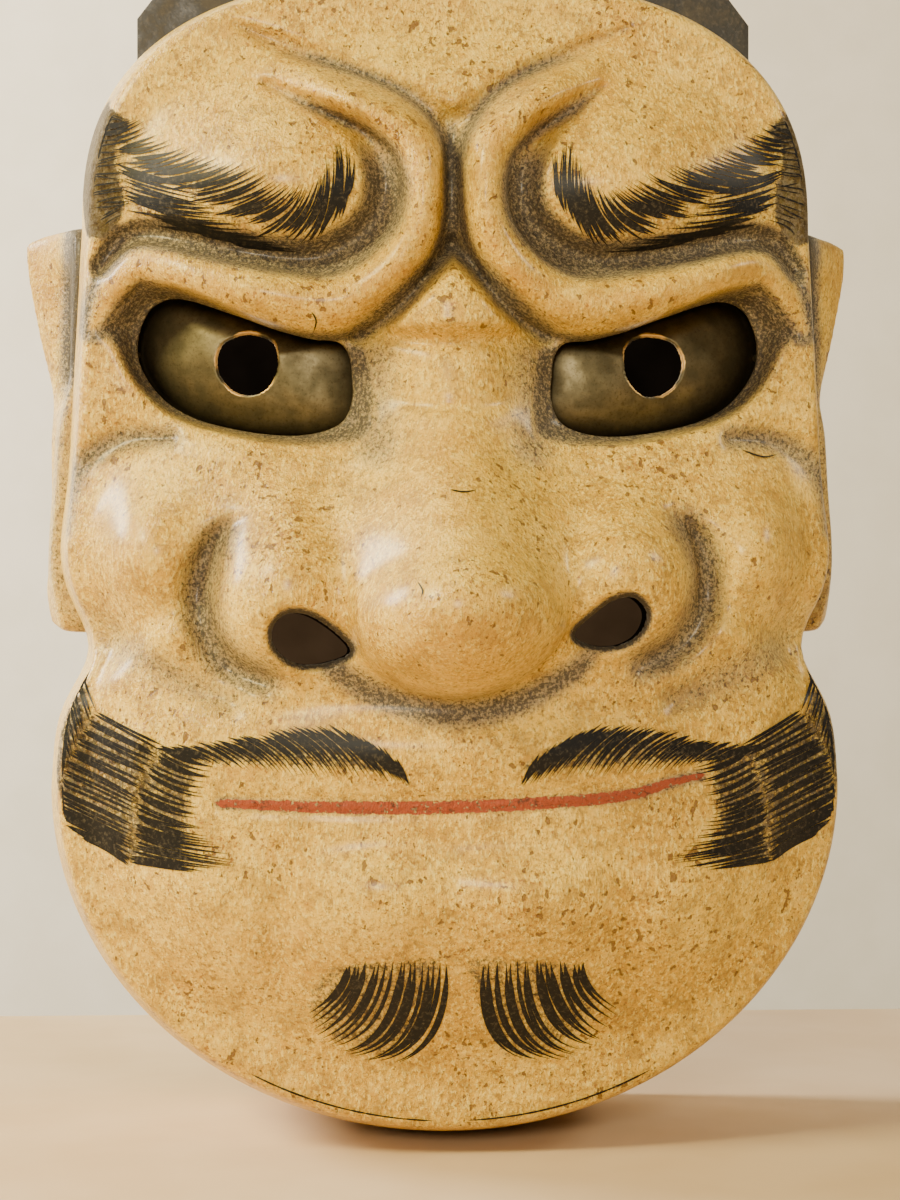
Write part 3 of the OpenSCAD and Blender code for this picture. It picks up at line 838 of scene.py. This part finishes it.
def make_face(drawing):
    """The carved shell, with masks for the back, the dirt and painted shade, the wear, the lip and the
    ink wash.
    """
    points, quads = mesh_of(*carve_solid(drawing), VOXEL)
    face = add_mesh("carved_face", points, quads, PAINT)
    depth = MID_DEPTH - points[:, 1]
    reach = reach_of(depth)
    u, v = points[:, 0] / reach, (points[:, 2] - SIGHT_Z) / reach + EYE_LINE
    names = ("depth", "edge", "soot", "worn", "lip", "nostril")
    surface, edge, soot, worn, lip, nostril = drawing.at(u, v, *names)
    below = surface - depth
    in_nostril = (nostril > -0.8) & (below > 0.6)
    back = np.where((below > BACK_DROP) & (edge > BACK_INSET), 1.0, 0.0)
    back = np.maximum(back, depth < 0.5)
    back[in_nostril] = 0
    # The nostril walls get the strongest painted shade, black.
    soot = np.where(in_nostril, NOSTRIL_SHADE_LEVEL, soot)
    # The front's dirt, painted shade and wear fade out round the corner to the side walls, and the ink
    # runs on there.
    corner = SIDE_DEPTH + 0.6 * (curve(v, MIDDLE) - SIDE_DEPTH)
    round_side = np.maximum(corner - depth, 0)
    on_front = np.where(in_nostril, 1.0, ease(1.2 - round_side / SIDE_FADE))
    ink = ink_wash(np.abs(u) + SIDE_WRAP * round_side, v)
    lip = np.where(below < 2, lip, -3)
    add_masks(face, back=back, soot=soot * on_front, worn=worn * on_front, lip=lip, ink=ink)
    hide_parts("mask_shell")


# Thin grey washes under the painted hair: how strong each is, and its ring.
WASHES = {
    "temple": (1.25, [(68, 183.5), (63.4, 185.6), (57, 181.6), (59.5, 177), (57.8, 167), (61, 161),
                      (65, 161.5), (70, 166), (74, 172), (73, 178)]),
    "brow": (0.36, [(60, 180), (50, 177), (40, 174), (30, 169.6), (24, 171.6), (20, 177), (17, 172),
                    (20, 165), (29, 159.4), (42, 161), (58, 166)]),
    "whisker": (0.72, [(66, 82), (62.8, 77), (51.6, 70.8), (46, 68), (47, 60), (49, 51), (57.8, 50),
                       (64.5, 55.5), (70, 61), (73, 68), (70.5, 76)]),
    "beard": (0.52, [(2, 32.5), (12, 33.2), (22, 32), (26, 26), (23, 20), (15, 16), (8, 17)]),
    "moustache": (0.66, [(52, 71), (36, 72), (28, 74), (18, 71.6), (11, 66.4), (20, 66.6), (34, 67.4),
                         (48, 68)]),
}


def ink_wash(s, v):
    """Strength of the wash this far from the middle."""
    ink = np.zeros(s.shape)
    for strength, ring in WASHES.values():
        ring = smooth_line(ring, closed=True)
        ink = np.maximum(ink, strength * ease((inside(s, v, ring) + 1.0) / 2.5))
    return ink


# ---- painted hair: each stroke is a thin tapered ribbon just over the paint ----
STROKE_STEPS = 12
INK_LIFT = 0.12
HAIR_LIMIT = 0.985
THINNEST = 0.06


def point_on(line, t):
    """Point at this share of a line's steps."""
    steps = np.linspace(0, 1, len(line))
    return np.array([np.interp(t, steps, line[:, k]) for k in (0, 1)])


def fan(roots, bends, tips, count, width, stray=0.4, late=0.0, head=0.18, tail=0.5):
    """Strokes from a root line to a tip line, each bending towards the line between them.

    Roots and tips stray by so many millimetres, and a stroke starts up to this share late.
    Head and tail are the shares of its length over which it swells and thins."""
    lines = [smooth_line(line, 8) for line in (roots, bends, tips)]
    strokes = []
    for i in range(count):
        t = np.clip((i + rng.uniform(-0.3, 0.3)) / (count - 1), 0, 1)
        a, b, c = (point_on(line, t) for line in lines)
        a, c = a + rng.normal(0, stray, 2), c + rng.normal(0, stray, 2)
        start = rng.uniform(0, late)
        s = start + (1 - start) * np.linspace(0, 1, STROKE_STEPS)[:, None]
        path = a * (1 - s) ** 2 + 2 * b * s * (1 - s) + c * s**2
        strokes.append((path, width * rng.uniform(0.7, 1.2), head, tail))
    return strokes


def paint_strokes(name, drawing, strokes, side, shift=(0.0, 0.0)):
    """One object of ribbons that follow the relief, kept inside the outline. side -1 mirrors them."""
    points, faces = [], []
    for path, width, head, tail in strokes:
        out = share_out(path[:, 0], path[:, 1])[:, None]
        path = (HUB + (path - HUB) * np.minimum(1, HAIR_LIMIT / out) + shift) * (side, 1)
        ahead = np.gradient(path, axis=0)
        across = np.c_[-ahead[:, 1], ahead[:, 0]] / np.linalg.norm(ahead, axis=1)[:, None]
        s = np.linspace(0, 1, STROKE_STEPS)
        half = 0.5 * width * np.clip(np.minimum(s / head, (1 - s) / tail), THINNEST, 1)[:, None]
        first = len(points)
        for edge in (path - across * half, path + across * half):
            depth = drawing.at(edge[:, 0], edge[:, 1], "depth")
            points.extend(place(edge[:, 0], edge[:, 1], depth + INK_LIFT))
        for i in range(first, first + STROKE_STEPS - 1):
            quad = (i, i + 1, i + 1 + STROKE_STEPS, i + STROKE_STEPS)
            faces.append(quad if side < 0 else quad[::-1])
    return add_mesh(name, points, faces, BRUSH)


def brow_strokes():
    upper = fan(
        [(63.5, 181), (60.5, 176), (56, 172), (50, 169.5), (44, 166), (38, 163.2), (32, 160.6),
         (27, 160.2), (22.5, 162.6), (19.2, 166.8)],
        [(60, 181), (55, 176), (48, 172.2), (42, 169.6), (36.5, 167), (31, 164.6), (26, 163.6),
         (22, 165.4), (19.4, 168), (17.6, 171)],
        [(57, 182.8), (50, 178.2), (42.5, 175.4), (36, 173.6), (31, 171.4), (27.5, 170), (24.3, 172),
         (22.3, 175), (20.7, 178.8), (18, 176)],
        count=92, width=0.5, late=0.3)
    lower = fan(
        [(60.5, 175), (59.5, 171), (58, 168), (54, 165), (48, 163), (41, 161)],
        [(54, 171.8), (53, 168), (50, 165.2), (46, 162.7), (40, 160.8), (35, 159.4)],
        [(46, 170.8), (44, 167.4), (41, 165), (36.5, 162.2), (32, 160.6), (27, 159.2)],
        count=34, width=0.55, late=0.2)
    temple = fan(
        [(66, 183), (65.6, 176), (65, 170), (63, 163)],
        [(62, 184), (62, 176), (61.5, 170), (61, 164.5)],
        [(56.5, 181.8), (57, 176.5), (56.5, 171), (57.5, 166)],
        count=22, width=0.3, stray=0.7, late=0.4)
    return upper + lower + temple


def moustache_strokes():
    return fan(
        [(53.5, 71.2), (47, 71.8), (41, 72.6), (35, 74), (29.5, 74.8), (24.5, 75), (19.5, 74.2),
         (14.5, 71.5), (10.5, 68.8)],
        [(49, 70), (42, 70), (35.5, 71), (29, 71.8), (23.5, 72), (18, 71.2), (14, 69.4),
         (11.2, 67.6), (9, 65.8)],
        [(46, 68.6), (39, 67.4), (32, 66.4), (25.2, 66), (20, 65.7), (14, 65.3), (11, 64.8),
         (8.8, 64.4), (8.3, 64.2)],
        count=66, width=0.5, stray=0.2, late=0.15)


def whisker_strokes():
    """Three sets, bending where the two folds of the cheek cross them."""
    side_set = fan(
        [(65.2, 84), (67, 80), (68.6, 75), (70.4, 70)],
        [(64.2, 80), (66.2, 76), (68, 72), (69.4, 67)],
        [(62.8, 77.2), (65.4, 73.6), (67.4, 69.6), (69.4, 65)],
        count=12, width=0.55, stray=0.15)
    outer = fan(
        [(62.8, 77.4), (66.5, 72.2), (68.6, 67), (70.1, 62), (68.5, 58), (65.2, 55)],
        [(57.5, 74), (61.2, 69.5), (63, 64.5), (63.8, 59), (62.4, 55.4), (60.5, 53)],
        [(51.6, 71), (54.2, 66.2), (56.2, 60.6), (56.6, 55.4), (57, 52), (57.6, 50)],
        count=34, width=0.62, stray=0.2, head=0.1, tail=0.2)
    inner = fan(
        [(51.8, 71), (54.6, 65.8), (56.2, 60), (56.4, 55), (57.4, 50.6)],
        [(47.5, 68.4), (49.6, 62.6), (51, 57), (50.4, 52.4), (50, 49.4)],
        [(42.5, 67.8), (44.6, 63.4), (46, 58.6), (43.2, 54.6), (39, 50.4), (46.5, 48.8)],
        count=32, width=0.62, stray=0.25, head=0.1)
    return side_set + outer + inner


def beard_strokes():
    return fan(
        [(1.2, 32), (7, 32.6), (13, 32.6), (19.5, 32)],
        [(0.5, 18), (5, 17), (10.5, 19), (16, 23), (19, 28)],
        [(9.5, 15.2), (15.5, 15.3), (19.5, 17), (23.5, 19.5), (25.8, 23.8)],
        count=19, width=1.0, stray=0.25)


def under_chin_strokes():
    """Hairs that sweep along the lower edge of the jaw from underneath."""
    return fan(
        [(38, 10.4), (31, 7), (24, 4.2), (16, 1.8), (8, 0.8)],
        [(34, 9), (27, 5.6), (20, 3.4), (13, 1.6), (5, 0.9)],
        [(30, 7.8), (24, 5.2), (17, 3.2), (10, 2), (3, 1.4)],
        count=22, width=0.3, stray=0.35, late=0.3)


def cracks():
    """A few short splits in the paint, each a line, a width and its two tapers."""
    lines = ([(-25.4, 148.2), (-24.6, 146.6), (-25, 144.4)], [(-1.5, 116.8), (1, 116.4), (3.6, 116.8)],
             [(52, 124), (56, 122.8), (59, 123.4)], [(-8, 100.4), (-7.2, 98.8), (-7.6, 97.4)])
    paths = (smooth_line(line, STROKE_STEPS // 2)[:STROKE_STEPS] for line in lines)
    return [(path, 0.28, 0.2, 0.3) for path in paths]


# Each set's strokes, and how far its left side sits towards the wearer's left.
HAIR = {"brow": (brow_strokes, 0), "moustache": (moustache_strokes, 3.5), "whisker": (whisker_strokes, 0),
        "beard": (beard_strokes, 3.5), "chin": (under_chin_strokes, 0)}


def make_hair(drawing):
    for side, name in ((1, "left"), (-1, "right")):
        for kind, (strokes, left_shift) in HAIR.items():
            shift = (left_shift if side > 0 else 0, 0)
            paint_strokes(f"{name}_{kind}_hair", drawing, strokes(), side, shift)
    paint_strokes("cracks", drawing, cracks(), 1)


# ---- eyes ----
PUPIL = (35.4, 138.9)
PUPIL_R = 5.75
PLATE_RISE = 4.6
PLATE_THICK = 0.8
EYE_SPOKES, EYE_RINGS = 128, 26


def eye_frame(side):
    """Middle of an eye and its plate's axes: along, up and out of the face."""
    turn = Matrix.Rotation(math.pi / 2, 3, "X") @ Matrix.Rotation(side * EYE_TURN, 3, "Y")
    axes = np.array(turn @ Matrix.Rotation(side * EYE_LEAN, 3, "Z"))
    return place(side * EYE[0], EYE[1], np.float64(EYE_DEPTH)), axes


def on_plate(side, ring):
    """Drawn ring moved to the plate's plane, in the plate's own two axes."""
    middle, axes = eye_frame(side)
    return ((place(side * ring[:, 0], ring[:, 1], eye_plane(ring[:, 0])) - middle) @ axes)[:, :2]


def eye_rings(side):
    """Points of a plate as rings from the ragged pupil out to the flange, with its two masks."""
    pupil = on_plate(side, np.array([PUPIL]))[0]
    a = np.linspace(-math.pi, math.pi, EYE_SPOKES, endpoint=False)
    way = np.c_[np.cos(a), np.sin(a)]
    far = spoke_length(on_plate(side, EYE_HOLE), pupil, a)
    ragged = PUPIL_R + 0.08 * np.sin(3 * a + side) + 0.04 * np.sin(7 * a + 2)
    ragged = ragged + rng.normal(0, 0.04, EYE_SPOKES)
    points, bright, dull = [], [], []
    for i in range(EYE_RINGS + 1):
        t = i / EYE_RINGS
        r = ragged + (far - ragged) * t
        x, y = (pupil + r[:, None] * way).T
        height = PLATE_RISE * np.clip(1 - (r / far) ** 2.4, 0, None) ** 0.9
        dents = 0.10 * np.sin(x / 2.3 + 1.3 * side) * np.sin(y / 2.9) + 0.06 * np.sin(x / 1.1 + y / 1.7)
        points.append(np.c_[x, y, height - LEDGE_BACK + dents * (1 - t)])
        # Painted glint with rubbed brass round the pupil, and painted shade towards the rim.
        bright.append(ease(1.2 - (r - ragged) / 0.35) * (0.6 + 0.4 * np.sin(5 * a + side)))
        dull.append(np.full(EYE_SPOKES, ease((t - 0.6) / 0.4)))
    flat = np.full(EYE_SPOKES, -LEDGE_BACK)
    points.append(np.c_[pupil + (far + FLANGE)[:, None] * way, flat])
    bright.append(np.zeros(EYE_SPOKES))
    dull.append(np.ones(EYE_SPOKES))
    return np.vstack(points), np.concatenate(bright), np.concatenate(dull)


def make_eye(side, name, node):
    """A domed brass plate with its pupil hole, lighter at the hole with rubbed brass and painted glint,
    and painted shade darkening it towards the edge.
    """
    points, bright, dull = eye_rings(side)
    middle, axes = eye_frame(side)
    faces = []
    for i in range(EYE_RINGS + 1):
        inner, outer = i * EYE_SPOKES, (i + 1) * EYE_SPOKES
        for j in range(EYE_SPOKES):
            k = (j + 1) % EYE_SPOKES
            faces.append((inner + j, outer + j, outer + k, inner + k))
    eye = add_mesh(name, points @ axes.T + middle, faces, BRASS)
    add_masks(eye, bright=bright, dull=dull)
    thick = eye.modifiers.new("sheet", "SOLIDIFY")
    thick.thickness = PLATE_THICK * MM
    thick.offset = -1
    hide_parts(node)


# ---- ears ----
# How far out the rim reaches at each height, and the ear's outline in side view, as (y, z).
EAR_RIM = [(92, 75.4), (97, 75.8), (110, 75.2), (125, 74.8), (138, 74.2), (150, 76.4), (163, 78.6),
           (168, 78.8)]
EAR_SIDE = smooth_line([
    (17, 104), (15.4, 120), (14.8, 140), (15, 155), (16.6, 164.4), (19.5, 167.4), (26, 168.1),
    (33, 167.6), (35.2, 164.6), (35.6, 150), (34, 138), (31, 124), (29.5, 108), (29, 95.5),
    (27, 93.2), (19.5, 93.2)], closed=True)
EAR_FRONT, EAR_BACK = 15.0, 33.5
EAR_LOW, EAR_HIGH = np.array([60.0, 12.0, 90.0]), np.array([81.0, 38.0, 171.0])
EAR_VOXEL = 0.5
RIGHT_EAR_EXTRA = 1.2


def side_wall(z):
    """How far out the shell's side wall is at this height."""
    return side_half((z - SIGHT_Z) / SIDE_REACH + EYE_LINE) * SIDE_REACH


def carve_ear(side):
    """Signed distance of an ear on a voxel grid: a cup open to the front over a slim flat lobe."""
    steps = (np.arange(a, b, EAR_VOXEL) for a, b in zip(EAR_LOW, EAR_HIGH))
    x, y, z = np.meshgrid(*steps, indexing="ij")
    flat_y, flat_z = y[0], z[0]
    wall = side_wall(flat_z)
    across = np.clip((flat_y - EAR_FRONT) / (EAR_BACK - EAR_FRONT), 0, 1)
    cup = ease((flat_z - 128) / 14)
    swell = (0.35 + 0.65 * across**1.2) * (1 - cup) + (0.12 + 0.88 * across**1.7) * cup
    rim = curve(flat_z, EAR_RIM) + (RIGHT_EAR_EXTRA if side < 0 else 0)
    outer = wall + (rim - wall) * swell
    outer -= 2.4 * hill(across - 0.55, 0.2) * ease((flat_z - 132) / 8) * ease((164 - flat_z) / 8)
    outer -= 1.1 * hill(across - 0.62, 0.13) * ease((flat_z - 100) / 8) * ease((134 - flat_z) / 8)
    steep = np.sqrt(1 + sum(g**2 for g in np.gradient(outer, EAR_VOXEL)))
    solid = smooth_max((x - outer) / steep, -inside(flat_y, flat_z, EAR_SIDE)[None], 1.4)
    return np.maximum(solid, wall - 1.5 - x)


def make_ear(side, name, node):
    """An ear with dirt and painted shade in its corner with the side wall, stronger high up, and a worn
    rim.
    """
    points, quads = mesh_of(carve_ear(side), EAR_LOW, EAR_VOXEL)
    root = points[:, 0] - side_wall(points[:, 2])
    high_up = ease((points[:, 2] - 134) / 10)
    if side < 0:
        points, quads = points * (-1, 1, 1), quads[:, ::-1]
    ear = add_mesh(name, points, quads, PAINT)
    # Dirt and painted shade where the ear meets the side wall, stronger in the cup.
    soot = (0.35 + 0.5 * high_up) * ease(1.2 - root / 6)
    add_masks(ear, soot=soot, worn=0.5 * ease((root - 5) / 3), lip=np.full(len(points), -5.0))
    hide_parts(node)


# ---- fixings and stage ----
def finish_cad_parts():
    materials = {"crown_strip": BLACK, "left_eye_tacks": BRASS, "right_eye_tacks": BRASS,
                 "ear_pegs": BAMBOO, "crown_pegs": BAMBOO}
    for node, material in materials.items():
        for material_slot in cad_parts[node].material_slots:
            material_slot.material = material


def add_stage(name, corners, material):
    mesh = bpy.data.meshes.new(name)
    mesh.from_pydata(corners, [], [(0, 1, 2, 3)])
    mesh.materials.append(material)
    sheet = bpy.data.objects.new(name, mesh)
    bpy.context.scene.collection.objects.link(sheet)


def upright(y, left, right, low, high):
    """Corners of a standing sheet."""
    return [(left, y, low), (right, y, low), (right, y, high), (left, y, high)]


def stage_paint(name, first, second):
    m = Surface(name)
    return m.finish(m.mix(m.step(m.noise(40, 3), 0.3, 0.7), first, second), 0.9, specular=0.0)


def make_stage():
    """A pale floor that ends behind the mask, a wall well back, and dark panels on it behind the holes:
    painted shade seen through the pupils and nostrils.
    """
    floor = stage_paint("pale_floor", srgb(206, 180, 146), srgb(214, 190, 158))
    wall = stage_paint("pale_wall", srgb(240, 230, 212), srgb(246, 236, 220))
    shade = stage_paint("painted_shade_panel", srgb(7, 5, 4), srgb(12, 9, 7))
    dim_shade = stage_paint("dim_painted_shade_panel", srgb(42, 32, 24), srgb(50, 39, 30))
    wide, near, edge, wall_y = 1.3, -1.2, 0.135, 1.1
    add_stage("floor", [(-wide, near, 0), (wide, near, 0), (wide, edge, 0), (-wide, edge, 0)], floor)
    add_stage("wall", upright(wall_y, -wide, wide, -1, 1.5), wall)
    # Painted shade: a dark panel seen through the pupils and a dimmer one seen through the nostrils.
    left, right, panel_y = -0.13, 0.24, wall_y - 0.005
    add_stage("upper_shade_panel", upright(panel_y, left, right, 0.16, 0.29), shade)
    add_stage("lower_shade_panel", upright(panel_y, left, right, 0.02, 0.16), dim_shade)
    world = bpy.data.worlds.new("room")
    bpy.context.scene.world = world
    world.use_nodes = True
    world.node_tree.nodes["Background"].inputs["Color"].default_value = (*srgb(244, 230, 206), 1)
    world.node_tree.nodes["Background"].inputs["Strength"].default_value = 0.15


def add_light(name, place_at, size, power, colour, aim=(0, 0, 0.11), shine=1.0):
    data = bpy.data.lights.new(name, "AREA")
    data.shape = "ELLIPSE"
    data.size, data.size_y = size
    data.energy = power
    data.color = colour
    data.specular_factor = shine
    light = bpy.data.objects.new(name, data)
    light.location = place_at
    light.rotation_euler = (Vector(aim) - Vector(place_at)).to_track_quat("-Z", "Y").to_euler()
    bpy.context.scene.collection.objects.link(light)


def make_lights():
    warm = (1.0, 0.89, 0.68)
    add_light("left_lamp", (-0.85, -0.56, 0.86), (0.35, 0.35), 22.5, (1.0, 0.86, 0.42), shine=0.35)
    add_light("front_lamp", (-0.2, -1.15, 0.42), (0.22, 0.22), 7.5, warm)
    add_light("right_lamp", (1.0, -0.25, 0.75), (0.25, 0.25), 5, warm)
    add_light("front_fill", (-0.2, -1.6, 0.6), (1.4, 1.0), 2.5, warm)
    add_light("wall_lamp", (-1.3, 0.4, 0.8), (0.6, 0.6), 62, (1.0, 0.95, 0.85), aim=(-0.6, 1.1, 0.2))


def make_camera():
    data = bpy.data.cameras.new("view")
    data.lens = 67.4
    data.sensor_width = 36
    camera = bpy.data.objects.new("view", data)
    eye = Vector((-0.018, -0.400, 0.099))
    aim = Vector((0.0, 0.0, 0.0985))
    camera.location = eye
    camera.rotation_euler = (aim - eye).to_track_quat("-Z", "Y").to_euler()
    bpy.context.scene.collection.objects.link(camera)
    bpy.context.scene.camera = camera


drawing = Drawing()
make_face(drawing)
make_hair(drawing)
make_eye(1, "left_brass_eye", "left_eye")
make_eye(-1, "right_brass_eye", "right_eye")
make_ear(1, "left_carved_ear", "left_ear")
make_ear(-1, "right_carved_ear", "right_ear")
finish_cad_parts()
make_stage()
make_lights()
make_camera()
